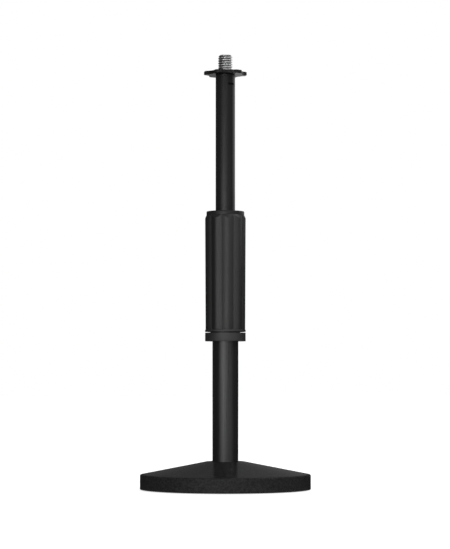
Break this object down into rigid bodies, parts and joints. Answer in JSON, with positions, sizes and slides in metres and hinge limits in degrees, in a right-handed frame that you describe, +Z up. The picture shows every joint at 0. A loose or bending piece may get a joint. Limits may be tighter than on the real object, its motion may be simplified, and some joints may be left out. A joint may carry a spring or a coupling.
{
  "type": "desk microphone stand",
  "caption": "Straight desk stand for a microphone: round weighted base, two telescoping tubes locked by a ribbed twist clutch, and a threaded stud with a lobed lock ring on top.",
  "frame": {"origin": "centre of the base at table level", "axes": "+Z up along the tubes, -Y towards the viewer, +X to the viewer's right"},
  "size_m": [0.1134, 0.1134, 0.2901],
  "materials": {
    "base_coat": "black fine-textured powder coat",
    "tube_coat": "smooth satin black powder coat",
    "collar_coat": "satin black lacquer",
    "grip_plastic": "satin black moulded plastic",
    "ring_plastic": "satin black moulded plastic",
    "pad_rubber": "matte black rubber",
    "thread_plating": "bright zinc plating",
    "zinc_steel": "bright zinc plating",
    "turned_steel": "turned, blackened and oiled",
    "nylon": "natural nylon"
  },
  "bodies": {
    "stand": {"base": "base_coat", "base_pad": "pad_rubber", "base_bolt": "zinc_steel", "flat_washer": "zinc_steel", "spring_washer": "zinc_steel", "lower_tube": "tube_coat", "lower_tube_plug": "turned_steel", "clutch_body": "turned_steel", "collar_ring": "collar_coat", "retaining_ring": "turned_steel", "guide_bush": "nylon"},
    "clamp": {"collet": "nylon", "thrust_washer": "nylon"},
    "grip": {"grip_core": "collar_coat", "grip_sleeve": "grip_plastic", "grip_cap": "grip_plastic"},
    "carriage": {"slide_bush": "nylon"},
    "mast": {"upper_tube": "tube_coat", "thread_stud": "thread_plating"},
    "lock_nut": {"lock_ring": "ring_plastic"}
  },
  "joints": [
    {"name": "clamp_lift", "type": "slide", "parent": "stand", "child": "clamp", "axis": [0, 0, 1], "range_m": [0, 0.00101]},
    {"name": "grip_turn", "type": "hinge", "parent": "clamp", "child": "grip", "pos_m": [0, 0, 0.145], "axis": [0, 0, 1], "range_deg": [0, 180]},
    {"name": "mast_slide", "type": "slide", "parent": "stand", "child": "carriage", "axis": [0, 0, 1], "range_m": [-0.09, 0.006]},
    {"name": "mast_turn", "type": "hinge", "parent": "carriage", "child": "mast", "pos_m": [0, 0, 0.2], "axis": [0, 0, 1], "continuous": true},
    {"name": "lock_ring_turn", "type": "hinge", "parent": "mast", "child": "lock_nut", "pos_m": [0, 0, 0.2779], "axis": [0, 0, 1], "continuous": true}
  ],
  "couplings": [
    {"joint": "clamp_lift", "follows": "grip_turn", "m_per_rad": 0.00031831}
  ]
}
